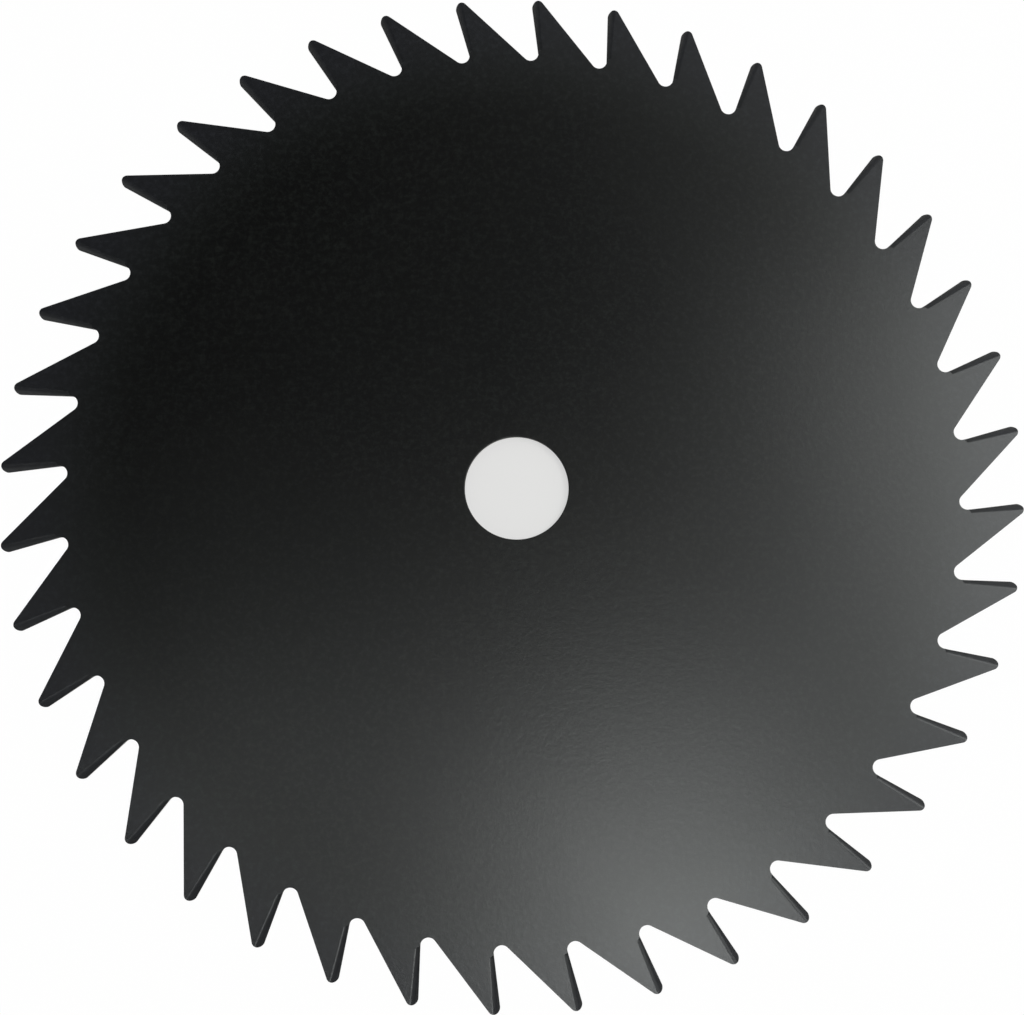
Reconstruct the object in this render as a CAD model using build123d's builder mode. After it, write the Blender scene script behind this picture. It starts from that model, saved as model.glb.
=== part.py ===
from build123d import *

import os
from math import asin, atan, cos, degrees, hypot, radians, sin, tan

os.makedirs("parts", exist_ok=True)

# Brush cutter blade: one flat steel plate with raked teeth round its rim and a plain centre bore.
# Millimetres and degrees. The underside lies on z = 0 and the bore's axis is Z. Seen from above,
# the teeth lean anticlockwise, and the first tooth's point would be on +X if it were not rounded.

# Plate
blade_diameter = 250.0  # over the rounded tooth tips
plate_thickness = 1.6
bore_diameter = 25.4  # takes a one-inch arbor
bore_edge_break = 0.2  # deburred rim of the bore, on both faces

# Tooth outline
tooth_count = 40
hook_angle = 8.6  # lean of the cutting edge ahead of the radius through the sharp point
back_angle = 39.1  # lean of the tooth's back from the same radius
tip_radius = 1.45
gullet_radius = 1.95

# Ground bevel along each cutting edge, on the upper face only
bevel_width_at_tip = 1.9
bevel_width_at_gullet = 1.15
edge_land = 0.3  # thickness left along the cutting edge beside the tip
shoulder_radius = 1.7  # round shoulder over which the upper face rolls into the bevel
runout_slope = 30.0  # of the bevel's inner end, where the grind climbs out of the plate
runout_skew = 35.0  # turn of that end, so that the bevel narrows to a point beside the gullet

# Angles that follow from the tooth outline
pitch_angle = 360 / tooth_count
tip_half_angle = (back_angle - hook_angle) / 2
gullet_half_angle = tip_half_angle + pitch_angle / 2
tip_bisector_angle = (back_angle + hook_angle) / 2

# Radius of the circle through the sharp points, so that the rounded tips reach blade_diameter
tip_setback = tip_radius / sin(radians(tip_half_angle))
tip_centre_radius = blade_diameter / 2 - tip_radius
tip_centre_offset = tip_setback * sin(radians(tip_bisector_angle))
tip_centre_x = tip_centre_radius * cos(asin(tip_centre_offset / tip_centre_radius))
sharp_radius = tip_centre_x + tip_setback * cos(radians(tip_bisector_angle))

# Length of the cutting edge from the sharp point to the sharp bottom of the gullet, by the law of
# sines in the triangle of two neighbouring points and the gullet between them
point_spacing = 2 * sharp_radius * sin(radians(pitch_angle / 2))
point_angle = 90 - pitch_angle / 2 - back_angle
sharp_edge_length = point_spacing * sin(radians(point_angle)) / sin(radians(2 * gullet_half_angle))

# Sharp point, sharp gullet bottom and directions of the first tooth
outward_along_edge = Vector(1, 0).rotate(Axis.Z, hook_angle)
out_of_steel = Vector(0, 1).rotate(Axis.Z, hook_angle)
sharp_point = Vector(sharp_radius, 0)
gullet_corner = sharp_point - outward_along_edge * sharp_edge_length

# Ends of the straight part of the cutting edge, where the roundings begin
gullet_tangent = gullet_radius / tan(radians(gullet_half_angle))
tip_tangent = tip_radius / tan(radians(tip_half_angle))
edge_start = gullet_corner + outward_along_edge * gullet_tangent
edge_end = sharp_point - outward_along_edge * tip_tangent

# Line where the bevel leaves the upper face: it closes on the cutting edge towards the gullet
upper_face = Vector(0, 0, plate_thickness)
bevel_start = edge_start - out_of_steel * bevel_width_at_gullet + upper_face
bevel_end = edge_end - out_of_steel * bevel_width_at_tip + upper_face
bevel_line = (bevel_end - bevel_start).normalized()
bevel_across = bevel_line.rotate(Axis.Z, 90)

# Slope of the ground flat: from the round shoulder it falls to edge_land at the tip's edge
bevel_depth = plate_thickness - edge_land
depth_below_roll = bevel_depth - shoulder_radius
roll_distance = hypot(bevel_width_at_tip, depth_below_roll)
flat_angle = degrees(asin(shoulder_radius / roll_distance) + atan(depth_below_roll / bevel_width_at_tip))
stone_overlap = plate_thickness  # how far the cut reaches past the steel
stone_entry = bevel_start - bevel_line * stone_overlap
stone_run = stone_overlap + sharp_edge_length - gullet_tangent

# One tooth's bevel as a solid to take away: a shoulder arc and a flat, carried along the bevel's
# line past the tip. Its inner end is a slope that starts at the gullet end of the cutting edge.
with BuildPart() as bevel_cut:
    with BuildSketch(Plane(origin=stone_entry, x_dir=bevel_across, z_dir=bevel_line)):
        with BuildLine():
            shoulder = JernArc((0, 0), (1, 0), shoulder_radius, -flat_angle)
            flat = PolarLine(shoulder @ 1, bevel_width_at_tip + stone_overlap, -flat_angle)
            far_top = ((flat @ 1).X, stone_overlap)
            Polyline(flat @ 1, far_top, (0, stone_overlap), (0, 0))
        make_face()
    extrude(amount=stone_run)
    square_runout = bevel_line.rotate(Axis(bevel_start, bevel_across), runout_slope - 90)
    runout_normal = square_runout.rotate(Axis.Z, runout_skew)
    split(bisect_by=Plane(origin=edge_start + upper_face, z_dir=runout_normal), keep=Keep.TOP)

# Blade: the toothed outline with its tips and gullets rounded, the bore, and the ground bevels
with BuildPart() as blade:
    with BuildSketch() as outline:
        with BuildLine():
            corners = []
            for tooth in range(tooth_count):
                turn = tooth * pitch_angle
                corners += [sharp_point.rotate(Axis.Z, turn), gullet_corner.rotate(Axis.Z, turn)]
            Polyline(*corners, close=True)
        make_face()
        fillet(outline.vertices().group_by(SortBy.DISTANCE)[-1], tip_radius)
        fillet(outline.vertices().group_by(SortBy.DISTANCE)[0], gullet_radius)
        Circle(bore_diameter / 2, mode=Mode.SUBTRACT)
    extrude(amount=plate_thickness)
    bore_rims = blade.edges().filter_by(GeomType.CIRCLE).group_by(SortBy.RADIUS)[-1]
    chamfer(bore_rims, bore_edge_break)
    with PolarLocations(0, tooth_count):
        add(bevel_cut.part, mode=Mode.SUBTRACT)

blade.part.label = "blade"
export_step(blade.part, "parts/blade.step")
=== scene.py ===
from math import asin, atan, cos, hypot, pi, radians, sin, tan

import bpy
import numpy as np
from mathutils import Matrix, Vector
from mathutils.geometry import delaunay_2d_cdt


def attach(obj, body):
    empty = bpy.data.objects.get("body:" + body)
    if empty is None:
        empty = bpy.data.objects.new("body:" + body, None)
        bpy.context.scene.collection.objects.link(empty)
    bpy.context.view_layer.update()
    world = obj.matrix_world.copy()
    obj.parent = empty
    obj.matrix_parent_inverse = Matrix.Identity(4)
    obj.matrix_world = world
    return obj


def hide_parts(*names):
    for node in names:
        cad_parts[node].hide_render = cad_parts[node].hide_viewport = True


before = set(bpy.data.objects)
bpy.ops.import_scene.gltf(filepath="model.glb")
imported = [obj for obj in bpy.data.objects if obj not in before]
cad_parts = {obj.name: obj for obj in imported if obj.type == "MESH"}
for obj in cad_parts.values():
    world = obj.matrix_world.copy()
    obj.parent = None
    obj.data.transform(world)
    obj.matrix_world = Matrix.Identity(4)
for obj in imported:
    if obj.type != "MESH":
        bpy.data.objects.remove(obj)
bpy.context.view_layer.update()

# Brush cutter blade: a flat steel plate under a satin black coat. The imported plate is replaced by
# one of the same form with finer roundings. Lengths of the plate are in mm, and all else in metres.

MM = 0.001
UP = np.array((0.0, 0.0, 1.0))

# The plate as modelled, in mm and radians
TOOTH_COUNT = 40
BLADE_RADIUS = 125.0  # over the rounded tooth tips
THICKNESS = 1.6
BORE_RADIUS = 12.7
BORE_EDGE = 0.2  # edge break of the bore
HOOK_ANGLE = radians(8.6)  # lean of a cutting edge ahead of the radius through its sharp point
BACK_ANGLE = radians(39.1)  # lean of the tooth's back from the same radius
TIP_RADIUS = 1.45
GULLET_RADIUS = 1.95
BEVEL_AT_TIP = 1.9  # width of the ground bevel
BEVEL_AT_GULLET = 1.15
EDGE_LAND = 0.3  # thickness left along the cutting edge beside the tip
SHOULDER_RADIUS = 1.7  # over which the upper face rolls into the bevel
RUNOUT_SLOPE = radians(30)  # of the bevel's inner end
RUNOUT_SKEW = radians(35)  # from the bevel's line to the way it climbs

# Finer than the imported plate
RIM_EDGE = 0.06  # tumbled rounding of the toothed rim's edges
BORE_STEPS = 180
GULLET_STEPS = 20
TIP_STEPS = 26
SHOULDER_STEPS = 8
EDGE_STEPS = 4
SLOPE_STEP = 1e-3  # mm either way, between which a slope is taken
CORNER_INSET = 0.02  # share of the way from a triangle's corner to its middle
KEEP_INSIDE = 1  # tells the triangulation to keep what lies inside the loops
MERGE_WITHIN = 1e-5  # mm

# From here on a pair is what a mask fades over, from none of it to all of it

# The coat
WALL_FACING = (0.5, 0.3)  # upright part of the normal
BEVEL_FACING = (0.999, 0.96)  # the same
BEVEL_ACROSS = (2.2, 1.7)  # mm into the steel from the cutting edge
BEVEL_ALONG = (-1.5, 0.0)  # mm outwards from the cutting edge's inner end
RIM_FROM_MIDDLE = (92, 122)  # mm
MOTTLE_SHOWN = (-0.1, 0.3)  # of the mottle's noise
STONE_CELLS = (2.4, 0.25, 7.3)  # noise cells per mm along and across a bevel, and from tooth to tooth
SHEAR_CELLS = (2.6, 2.6, 0.35)  # noise cells per mm of a cut edge, longest upright
PLATE_TINT = (0.86, 1.04, 0.9, 1)
RIM_TINT = (0.96, 1.02, 1.22, 1)
RIM_SHADE = 0.0134
CLOUD_ON_SHADE = 0.25
WALL_ON_SHADE = 0.1
MOTTLE_SHADE = 0.0105
GLOSS_TINT = (0.965, 1.0, 0.985, 1)

# Its roughness: the plate's, less at the rim, more on bevels and cut edges, and how far each
# pattern spreads it
PLATE_ROUGHNESS = 0.306
RIM_SMOOTHER = 0.009
CLOUD_SPREAD = 0.02
GRAIN_SPREAD = 0.03
BEVEL_ROUGHER = 0.08
STONE_SPREAD = 0.12
WALL_ROUGHER = 0.1
SHEAR_SPREAD = 0.1

# Its relief, in mm from the lowest to the highest of each pattern
GRAIN_RELIEF = 0.0022
MOTTLE_RELIEF = 0.02
STONE_RELIEF = 0.01
SHEAR_RELIEF = 0.02

# The floor, in metres
WHITE = (1, 1, 1, 1)
PAPER = (0.68, 0.68, 0.65, 1)
FLOOR_REACH = 4.0
FLOOR_DROP = 0.0001  # below the plate's underside
AWAY_FROM_MIDDLE = (0.02, 0.11)
WHITE_UNDER_BORE = 0.555  # share of plain white that the camera sees
WHITE_ADDED_AWAY = 0.435

# The room. Heights are sines of the angle above the horizon, and sides are cosines of the angle
# from their middle.
WALL_LIGHT = 0.362
CEILING_LIGHT = 0.004
WALL_HEIGHTS = (0.982, 0.45)
SIDE_HEIGHTS = (0.35, 0.14)
BRIGHT_SIDE = radians(240)
BRIGHT_WIDTH = (0.72, 0.96)
BRIGHT_GAIN = 1.6
DARK_SIDE = radians(315)
DARK_WIDTH = (0.5, 0.78)


def heading(angle):
    """Unit vector in the plane at that angle from +X."""
    return np.stack((np.cos(angle), np.sin(angle)), axis=-1)


def turned(points, angle):
    """Points in the plane, turned anticlockwise about the middle by angle, one for all or one each."""
    across = heading(angle)
    x = points[..., 0] * across[..., 0] - points[..., 1] * across[..., 1]
    y = points[..., 0] * across[..., 1] + points[..., 1] * across[..., 0]
    return np.stack((x, y), axis=-1)


def unit(vectors):
    """The vectors along the last axis, each divided by its length."""
    return vectors / np.linalg.norm(vectors, axis=-1, keepdims=True)


# The first tooth's outline, with its sharp point on +X before it is rounded
PITCH = 2 * pi / TOOTH_COUNT
POINT_AHEAD = 0.25  # of a pitch: a tooth's sharp point ahead of the middle of its sector
TIP_HALF = (BACK_ANGLE - HOOK_ANGLE) / 2
TIP_LEAN = (BACK_ANGLE + HOOK_ANGLE) / 2
GULLET_HALF = TIP_HALF + PITCH / 2
SETBACK = TIP_RADIUS / sin(TIP_HALF)
TIP_ORBIT = BLADE_RADIUS - TIP_RADIUS
SHARP_RADIUS = TIP_ORBIT * cos(asin(SETBACK * sin(TIP_LEAN) / TIP_ORBIT)) + SETBACK * cos(TIP_LEAN)
POINT_SPACING = 2 * SHARP_RADIUS * sin(PITCH / 2)
EDGE_LENGTH = POINT_SPACING * cos(PITCH / 2 + BACK_ANGLE) / sin(2 * GULLET_HALF)
GROUND_LENGTH = EDGE_LENGTH - GULLET_RADIUS / tan(GULLET_HALF)  # sharp point to the bevel's start

SHARP_POINT = SHARP_RADIUS * heading(0.0)
GULLET_CORNER = SHARP_POINT - EDGE_LENGTH * heading(HOOK_ANGLE)
TIP_CENTRE = SHARP_POINT - SETBACK * heading(TIP_LEAN)
GULLET_CENTRE = GULLET_CORNER + GULLET_RADIUS / sin(GULLET_HALF) * heading(TIP_LEAN + PITCH / 2)
EDGE_START = SHARP_POINT - GROUND_LENGTH * heading(HOOK_ANGLE)
EDGE_END = SHARP_POINT - TIP_RADIUS / tan(TIP_HALF) * heading(HOOK_ANGLE)

# Its bevel: the line where it leaves the upper face, and the slopes of its flat and run-out
INTO_STEEL = -heading(HOOK_ANGLE + pi / 2)
BEVEL_START = EDGE_START + BEVEL_AT_GULLET * INTO_STEEL
BEVEL_SPAN = EDGE_END + BEVEL_AT_TIP * INTO_STEEL - BEVEL_START
BEVEL_ANGLE = atan(BEVEL_SPAN[1] / BEVEL_SPAN[0])
BEVEL_LINE = heading(BEVEL_ANGLE)
PAST_BEVEL = heading(BEVEL_ANGLE + pi / 2)
CLIMB = heading(BEVEL_ANGLE + RUNOUT_SKEW) * tan(RUNOUT_SLOPE)
CENTRE_HEIGHT = THICKNESS - EDGE_LAND - SHOULDER_RADIUS  # of the shoulder, over the cutting edge
CENTRE_DISTANCE = hypot(BEVEL_AT_TIP, CENTRE_HEIGHT)
FLAT_ANGLE = asin(SHOULDER_RADIUS / CENTRE_DISTANCE) + atan(CENTRE_HEIGHT / BEVEL_AT_TIP)
BEVEL_REACH = 3.0  # past its line, where the steel has ended and the next tooth hasn't begun


def ground_away(points):
    """Depth of the bevels under the upper face, for any array of points.

    At a distance e past the bevel's line the round shoulder is down by R - sqrt(R^2 - e^2), and
    beyond it the flat falls on at its own slope. The run-out plane stops the cut from going
    deeper, so the depth is the lesser of the two, and none where either is above the face."""
    tooth = np.round(np.arctan2(points[..., 1], points[..., 0]) / PITCH + POINT_AHEAD)
    local = turned(points, -tooth * PITCH)
    past = (local - BEVEL_START) @ PAST_BEVEL
    on_shoulder = np.clip(past, 0, SHOULDER_RADIUS * sin(FLAT_ANGLE))
    shoulder = SHOULDER_RADIUS - np.sqrt(SHOULDER_RADIUS**2 - on_shoulder**2)
    section = shoulder + np.maximum(past - on_shoulder, 0) * tan(FLAT_ANGLE)
    depth = np.maximum(np.minimum(section, (local - EDGE_START) @ CLIMB), 0)
    return np.where(past < BEVEL_REACH, depth, 0)


def upper_normals(points):
    """Unit normals of the upper face with its bevels, from the slope of ground_away."""
    x = np.array((SLOPE_STEP, 0.0))
    y = np.array((0.0, SLOPE_STEP))
    slope_x = (ground_away(points + x) - ground_away(points - x)) / (2 * SLOPE_STEP)
    slope_y = (ground_away(points + y) - ground_away(points - y)) / (2 * SLOPE_STEP)
    return unit(np.stack((slope_x, slope_y, np.ones_like(slope_x)), axis=-1))


def toothed_outline():
    """(points, normals) of the rim, clockwise from above.

    Every rounding is centre + radius * (cos a, sin a), where a is the angle of the outward normal
    and goes from one straight edge's normal to the next's. A gullet has a negative radius, because
    its centre lies outside the steel. Straight edges join the roundings."""
    edge_normal = HOOK_ANGLE + pi / 2
    back_normal = BACK_ANGLE - pi / 2
    in_gullet = heading(np.linspace(back_normal + PITCH, edge_normal, GULLET_STEPS + 1))
    on_tip = heading(np.linspace(edge_normal, back_normal, TIP_STEPS + 1))
    gullet = GULLET_CENTRE - GULLET_RADIUS * in_gullet
    tip = TIP_CENTRE + TIP_RADIUS * on_tip
    points = np.concatenate((gullet, tip))
    normals = np.concatenate((in_gullet, on_tip))
    turns = -PITCH * np.arange(TOOTH_COUNT)[:, None]
    return turned(points, turns).reshape(-1, 2), turned(normals, turns).reshape(-1, 2)


def bevel_creases():
    """(points, pairs): the lines on one tooth's bevel that its triangles follow.

    They run along the shoulder at equal steps of its tilt t, at e = R sin t past the bevel's line,
    from the run-out to beyond the tip. Another line joins their starts: there the run-out plane is
    as deep as the section, R (1 - cos t). The last goes from there to the cutting edge's start."""
    tilt = np.linspace(0, FLAT_ANGLE, SHOULDER_STEPS + 1)
    past = SHOULDER_RADIUS * np.sin(tilt)
    depth = SHOULDER_RADIUS * (1 - np.cos(tilt))
    offset = BEVEL_START + past[:, None] * PAST_BEVEL
    runs = (depth - (offset - EDGE_START) @ CLIMB) / (BEVEL_LINE @ CLIMB)
    starts = offset + runs[:, None] * BEVEL_LINE
    ends = offset + GROUND_LENGTH * BEVEL_LINE
    outer_end = EDGE_START + unit(EDGE_START - starts[0]) * BEVEL_AT_GULLET
    points = np.concatenate((starts, ends, outer_end[None]))
    count = len(starts)
    pairs = [(k, k + count) for k in range(count)] + [(k, k + 1) for k in range(count - 1)]
    return points, np.array(pairs + [(0, 2 * count)])


def loop_from(begin, following):
    """The loop of points that starts at begin, where each point leads to the one following it."""
    loop = [begin]
    while following[loop[-1]] != begin:
        loop.append(following[loop[-1]])
    return np.array(loop)


def spread_normals(places, known, normals):
    """Unit normals for all places of a loop: those given at the known ones, and between them in
    proportion to the distance walked round the loop."""
    strides = np.linalg.norm(np.diff(places, axis=0), axis=1)
    walked = np.concatenate(((0,), np.cumsum(strides)))
    spread = [np.interp(walked, walked[known], normals[:, axis]) for axis in (0, 1)]
    return unit(np.stack(spread, axis=-1))


def flat_triangles():
    """(points, triangles, rim, bore): the plate's face cut into triangles along its creases. The
    rim and the bore are each a loop of points and the normals there that point out of the steel."""
    outline, outward = toothed_outline()
    around = heading(np.linspace(0, 2 * pi, BORE_STEPS, endpoint=False))
    bore_circle = around * (BORE_RADIUS + BORE_EDGE)
    crease_points, crease_pairs = bevel_creases()
    turns = PITCH * np.arange(TOOTH_COUNT)[:, None]
    creases = turned(crease_points, turns).reshape(-1, 2)
    points = np.concatenate((outline - RIM_EDGE * outward, bore_circle, creases))
    rim_count = len(outline)
    loops = [list(range(rim_count))[::-1], list(range(rim_count, rim_count + BORE_STEPS))]
    first = rim_count + BORE_STEPS + len(crease_points) * np.arange(TOOTH_COUNT)
    pairs = (first[:, None, None] + crease_pairs).reshape(-1, 2)

    corners = [Vector(point) for point in points.tolist()]
    flat, _, faces, given, _, inside = delaunay_2d_cdt(
        corners, pairs.tolist(), loops, KEEP_INSIDE, MERGE_WITHIN, True
    )
    # Steel is inside the rim, which is loop 0, and not inside the bore, which is loop 1
    triangles = np.array([face for face, regions in zip(faces, inside) if regions == [0]])
    used, triangles = np.unique(triangles, return_inverse=True)
    triangles = triangles.reshape(-1, 3)
    source = np.array([min(given[k], default=-1) for k in used])
    flat = np.array([flat[k][:] for k in used], dtype=float)

    # An edge of one triangle only is on a loop, and each point on a loop leads to the next
    edges = triangles[:, ((0, 1), (1, 2), (2, 0))].reshape(-1, 2)
    code = edges[:, 0] * len(used) + edges[:, 1]
    border = edges[~np.isin(code, edges[:, 1] * len(used) + edges[:, 0])]
    following = dict(border.tolist())
    normals = np.concatenate((outward, -around))
    found = []
    for begin in (0, rim_count):
        loop = loop_from(int(np.flatnonzero(source == begin)[0]), following)
        known = (source[loop] >= 0) & (source[loop] < len(normals))
        found.append((loop, spread_normals(flat[loop], known, normals[source[loop[known]]])))
    return flat, triangles, found[0], found[1]


def rolled_edge(flat, loop, outward, radius, first):
    """(places, normals, quads): the profile that joins the two faces along a loop.

    It is an edge rounding of radius r, whose tilt t goes from 0 to 90 degrees at r sin t outwards
    and r (1 - cos t) down, then the upright wall, and the same rounding below. The loop's points
    belong to the faces, and its own are numbered from first."""
    tilt = np.linspace(0, pi / 2, EDGE_STEPS + 1)[1:, None, None]
    aside = flat[loop] + radius * np.sin(tilt) * outward
    drop = radius * (1 - np.cos(tilt[..., 0]))
    upper = np.concatenate((aside, (THICKNESS - ground_away(aside) - drop)[..., None]), axis=-1)
    lower = np.concatenate((aside, np.broadcast_to(drop, aside.shape[:2])[..., None]), axis=-1)[::-1]
    level = np.c_[outward, np.zeros(len(loop))]
    upper_tilt = unit(np.sin(tilt) * level + np.cos(tilt) * upper_normals(flat[loop]))
    lower_tilt = (np.sin(tilt) * level - np.cos(tilt) * UP)[::-1]
    rows = np.arange(first, first + 2 * EDGE_STEPS * len(loop)).reshape(-1, len(loop))
    rows = np.concatenate((loop[None], rows, loop[None] + len(flat)))
    beside = np.roll(rows, -1, axis=1)
    quads = np.stack((beside[:-1], rows[:-1], rows[1:], beside[1:]), axis=-1).reshape(-1, 4)
    places = np.concatenate((upper, lower)).reshape(-1, 3)
    normals = np.concatenate((upper_tilt, lower_tilt)).reshape(-1, 3)
    return places, normals, quads


def placed(name, data):
    """A new object in the scene that holds this mesh, lamp or lens."""
    holder = bpy.data.objects.new(name, data)
    bpy.context.collection.objects.link(holder)
    return holder


def toothed_plate():
    """The plate as one closed mesh. Its upper face is the flat triangles at the plate's thickness
    less the depth that is ground away, and its lower face the same triangles at 0. Rolled edges
    join the two round the rim and round the bore."""
    flat, triangles, rim, bore = flat_triangles()
    count = len(flat)
    places = [np.c_[flat, THICKNESS - ground_away(flat)], np.c_[flat, np.zeros(count)]]
    normals = [upper_normals(flat), np.broadcast_to(-UP, (count, 3))]
    quads = []
    total = 2 * count
    for (loop, outward), radius in ((rim, RIM_EDGE), (bore, BORE_EDGE)):
        edge_places, edge_normals, edge_quads = rolled_edge(flat, loop, outward, radius, total)
        places.append(edge_places)
        normals.append(edge_normals)
        quads.append(edge_quads)
        total += len(edge_places)
    places = np.concatenate(places)
    normals = np.concatenate(normals)
    quads = np.concatenate(quads)

    # A corner of the upper face takes its normal from just inside its triangle, so creases stay sharp
    corners = flat[triangles]
    inside = corners + CORNER_INSET * (corners.mean(axis=1, keepdims=True) - corners)
    corner_normals = np.concatenate((
        upper_normals(inside).reshape(-1, 3),
        np.broadcast_to(-UP, (triangles.size, 3)),
        normals[quads].reshape(-1, 3),
    ))
    mesh = bpy.data.meshes.new("toothed_plate")
    faces = triangles.tolist() + (triangles[:, ::-1] + count).tolist() + quads.tolist()
    mesh.from_pydata((places * MM).tolist(), [], faces)
    mesh.shade_smooth()
    mesh.normals_split_custom_set(corner_normals.tolist())
    plate = placed("toothed_plate", mesh)
    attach(plate, "root")
    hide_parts("blade")
    return plate


class Wire:
    """An output socket of a node tree. Arithmetic on it adds Math nodes, and so do the methods
    from sin to angle_from. node() adds any other node."""

    def __init__(self, tree, socket=None):
        self.tree = tree
        self.socket = socket

    def node(self, kind, sockets=None, output=0, **settings):
        """Adds a node of that kind. Its settings come first, then the values or links of its
        sockets, by name or number. Gives the output asked for."""
        node = self.tree.nodes.new("ShaderNode" + kind)
        for name, value in settings.items():
            setattr(node, name, value)
        for name, value in (sockets or {}).items():
            if isinstance(value, Wire):
                self.tree.links.new(value.socket, node.inputs[name])
            else:
                node.inputs[name].default_value = value
        return Wire(self.tree, node.outputs[output] if node.outputs else None)

    def maths(self, operation, *values):
        return self.node("Math", dict(enumerate(values)), operation=operation)

    def __add__(self, other):
        return self.maths("ADD", self, other)

    def __sub__(self, other):
        return self.maths("SUBTRACT", self, other)

    def __mul__(self, other):
        return self.maths("MULTIPLY", self, other)

    def __truediv__(self, other):
        return self.maths("DIVIDE", self, other)

    def __radd__(self, other):
        return self.maths("ADD", other, self)

    def __rsub__(self, other):
        return self.maths("SUBTRACT", other, self)

    def __rmul__(self, other):
        return self.maths("MULTIPLY", other, self)

    def sin(self):
        return self.maths("SINE", self)

    def cos(self):
        return self.maths("COSINE", self)

    def root(self):
        return self.maths("SQRT", self)

    def size(self):
        return self.maths("ABSOLUTE", self)

    def nearest_whole(self):
        return self.maths("ROUND", self)

    def angle_from(self, other):
        return self.maths("ARCTAN2", self, other)

    def rise(self, low, high):
        """0 below low and 1 above high, with a smooth step between; high may be the lower one."""
        sockets = {"Value": self, "From Min": low, "From Max": high}
        return self.node("MapRange", sockets, interpolation_type="SMOOTHSTEP")

    def blend(self, colour, other):
        """One colour where this value is 0 and the other where it is 1."""
        sockets = {0: self, 6: colour, 7: other}  # of the Mix node: its factor and its two colours
        return self.node("Mix", sockets, 2, data_type="RGBA")

    def times(self, factor):
        """This vector or colour, all of it times a number."""
        return self.node("VectorMath", {0: self, "Scale": factor}, operation="SCALE")

    def parts(self):
        """X, Y and Z of a vector."""
        return [self.node("SeparateXYZ", {0: self}, axis) for axis in "XYZ"]

    def noise(self, cells, detail, roughness):
        """Cloudy noise about 0, from -0.5 to 0.5, with so many cells in a unit of the vector."""
        sockets = {"Vector": self, "Scale": cells, "Detail": detail, "Roughness": roughness}
        return self.node("TexNoise", sockets) - 0.5


def emptied(owner):
    """A wire to start from in the node tree of a material or world, which it clears."""
    owner.use_nodes = True
    owner.node_tree.nodes.clear()
    return Wire(owner.node_tree)


def stretched(wires, cells):
    """The vector of three wires, each times its own number of noise cells."""
    x, y, z = [wire * number for wire, number in zip(wires, cells)]
    return x.node("CombineXYZ", {0: x, 1: y, 2: z})


def from_middle(x, y):
    """Distance from the blade's middle, seen from above."""
    return (x * x + y * y).root()


def tooth_place(x, y):
    """(along, across, tooth): where a point is beside the nearest cutting edge, in mm, and which
    tooth it is. along runs outwards from the inner end of the edge, and across is the distance
    into the steel. The point is turned back by a whole number of pitches to the first tooth."""
    bearing = y.angle_from(x)
    tooth = (bearing / PITCH + POINT_AHEAD).nearest_whole()
    radius = from_middle(x, y)
    turned_back = bearing - tooth * PITCH
    from_point = radius * turned_back.cos() - SHARP_RADIUS
    sideways = radius * turned_back.sin()
    along = from_point * cos(HOOK_ANGLE) + sideways * sin(HOOK_ANGLE) + GROUND_LENGTH
    across = from_point * sin(HOOK_ANGLE) - sideways * cos(HOOK_ANGLE)
    return along, across, tooth


def satin_black_coat():
    """Thin black coat on rolled steel: near-black, satin, with a very fine even grain and a faint
    mottle, slightly green, and lighter and bluer towards the teeth. The ground bevels are rougher,
    with faint lines from the stone through the coat, and so are the cut edges, with upright lines."""
    material = bpy.data.materials.new("satin_black_coat")
    start = emptied(material)

    place = start.node("TexCoord", output="Object").times(1 / MM)
    x, y, z = place.parts()
    facing = start.node("TexCoord", output="Normal").parts()[2]
    along, across, tooth = tooth_place(x, y)

    wall = facing.size().rise(*WALL_FACING)
    ground = across.rise(*BEVEL_ACROSS) * along.rise(*BEVEL_ALONG)
    bevel = ground * facing.rise(*BEVEL_FACING) * (1 - wall)
    rim = from_middle(x, y).rise(*RIM_FROM_MIDDLE)

    grain = place.noise(cells=3.2, detail=3.0, roughness=0.6)
    mottle = place.noise(cells=0.75, detail=2.5, roughness=0.8)
    cloud = place.noise(cells=0.035, detail=3.0, roughness=0.55)
    stone = stretched((along, across, tooth), STONE_CELLS).noise(cells=1.0, detail=3.0, roughness=0.6)
    sheared = stretched((x, y, z), SHEAR_CELLS).noise(cells=1.0, detail=3.0, roughness=0.6)

    rim_shade = rim * RIM_SHADE * (1 + cloud * CLOUD_ON_SHADE + wall * WALL_ON_SHADE)
    shade = rim_shade + mottle.rise(*MOTTLE_SHOWN) * MOTTLE_SHADE
    black = rim.blend(PLATE_TINT, RIM_TINT).times(shade)
    roughness = (
        PLATE_ROUGHNESS
        - rim * RIM_SMOOTHER
        + (cloud * CLOUD_SPREAD + grain * GRAIN_SPREAD)
        + bevel * (BEVEL_ROUGHER + stone * STONE_SPREAD)
        + wall * (WALL_ROUGHER + sheared * SHEAR_SPREAD)
    )
    height_mm = (
        (1 - wall) * (grain * GRAIN_RELIEF + mottle * MOTTLE_RELIEF)
        + bevel * stone * STONE_RELIEF
        + wall * sheared * SHEAR_RELIEF
    )
    bump = start.node("Bump", {"Strength": 1.0, "Distance": MM, "Height": height_mm})
    steel = start.node(
        "BsdfPrincipled",
        {
            "Base Color": black,
            "Roughness": roughness,
            "Normal": bump,
            "IOR": 1.5,
            "Specular Tint": GLOSS_TINT,
        },
    )
    start.node("OutputMaterial", {"Surface": steel})
    return material


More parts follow.
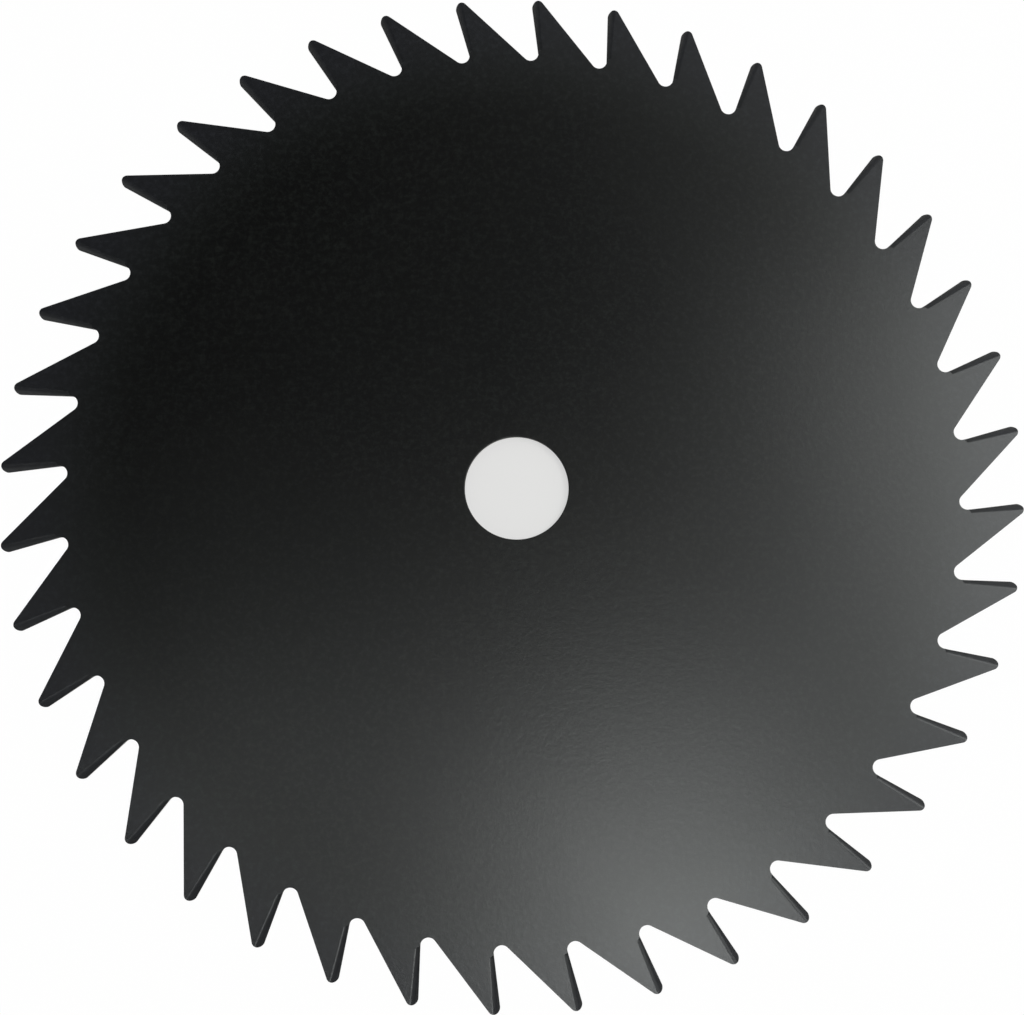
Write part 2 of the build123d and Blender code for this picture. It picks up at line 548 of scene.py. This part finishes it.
def studio_floor():
    """A wide pale sheet. It keeps the blade's soft shadow. Seen by the camera it goes to white
    away from the blade, and stays a pale grey under the bore."""
    sheet = bpy.data.meshes.new("floor")
    corners = [(x * FLOOR_REACH, y * FLOOR_REACH, 0) for x, y in ((-1, -1), (1, -1), (1, 1), (-1, 1))]
    sheet.from_pydata(corners, [], [(0, 1, 2, 3)])
    floor = placed("floor", sheet)
    floor.location.z = -FLOOR_DROP

    material = bpy.data.materials.new("pale_floor")
    start = emptied(material)
    x, y, _ = start.node("TexCoord", output="Object").parts()
    away = from_middle(x, y).rise(*AWAY_FROM_MIDDLE)
    seen = start.node("LightPath", output="Is Camera Ray")
    paper = start.node("BsdfDiffuse", {"Color": PAPER})
    white = start.node("Emission", {"Color": WHITE, "Strength": 1.0})
    share = seen * (WHITE_UNDER_BORE + away * WHITE_ADDED_AWAY)
    start.node("OutputMaterial", {"Surface": start.node("MixShader", {0: share, 1: paper, 2: white})})
    sheet.materials.append(material)


def studio_world():
    """The room: white to the camera. What lights the blade is dark overhead, where the lamps are,
    and grey from half-way down to the horizon, with a brighter and a darker side low down."""
    world = bpy.data.worlds.new("studio")
    start = emptied(world)
    bpy.context.scene.world = world
    x, y, height = start.node("TexCoord", output="Generated").parts()
    bright_side = (x * cos(BRIGHT_SIDE) + y * sin(BRIGHT_SIDE)).rise(*BRIGHT_WIDTH)
    dark_side = (x * cos(DARK_SIDE) + y * sin(DARK_SIDE)).rise(*DARK_WIDTH)
    sides = height.rise(*SIDE_HEIGHTS) * (bright_side * BRIGHT_GAIN - dark_side)
    seen = start.node("LightPath", output="Is Camera Ray")
    walls = WALL_LIGHT * height.rise(*WALL_HEIGHTS) * (1 + sides)
    strength = seen + (1 - seen) * (CEILING_LIGHT + walls)
    backdrop = start.node("Background", {"Color": WHITE, "Strength": strength})
    start.node("OutputWorld", {"Surface": backdrop})


def soft_lamp(name, place, width, radiance):
    """A square lamp at place that faces the blade's middle. Its power gives that radiance."""
    lamp = bpy.data.lights.new(name, "AREA")
    lamp.shape = "SQUARE"
    lamp.size = width
    lamp.energy = radiance * pi * width * width
    holder = placed(name, lamp)
    holder.location = place
    holder.rotation_euler = Vector(place).to_track_quat("Z", "Y").to_euler()
    holder.visible_camera = False


def photo_camera():
    """The camera at the photograph's angle, found from the tooth tips, gullets and bore. Its
    upright is the part of +Y that is square to the line of sight, turned by a small roll."""
    place = Vector((0.0045613, -0.0486309, 0.3559222))
    aim = Vector((0.0138594, -0.0082309, 0.0))
    roll = radians(1.2185)
    back = (place - aim).normalized()
    right = Vector((0, 1, 0)).cross(back).normalized()
    turn = Matrix((right, back.cross(right), back)).transposed() @ Matrix.Rotation(roll, 3, "Z")
    lens = bpy.data.cameras.new("camera")
    lens.sensor_width = 36
    lens.lens = 51.4074
    lens.shift_x = -0.05911
    lens.shift_y = 0.01542
    lens.clip_start = 0.01
    lens.dof.use_dof = False
    camera = placed("camera", lens)
    camera.matrix_world = Matrix.Translation(place) @ turn.to_4x4()
    bpy.context.scene.camera = camera


toothed_plate().data.materials.append(satin_black_coat())

studio_floor()
studio_world()
soft_lamp("tall_lamp", place=(0.378, -0.619, 3.497), width=0.559, radiance=18.83)
soft_lamp("right_lamp", place=(0.392, 0.106, 0.593), width=0.344, radiance=4.12)
soft_lamp("left_lamp", place=(-0.407, -0.189, 1.684), width=0.108, radiance=14.04)
soft_lamp("far_card", place=(0.272, 0.357, 0.22), width=0.685, radiance=0.42)
photo_camera()
bpy.context.scene.view_settings.view_transform = "Standard"
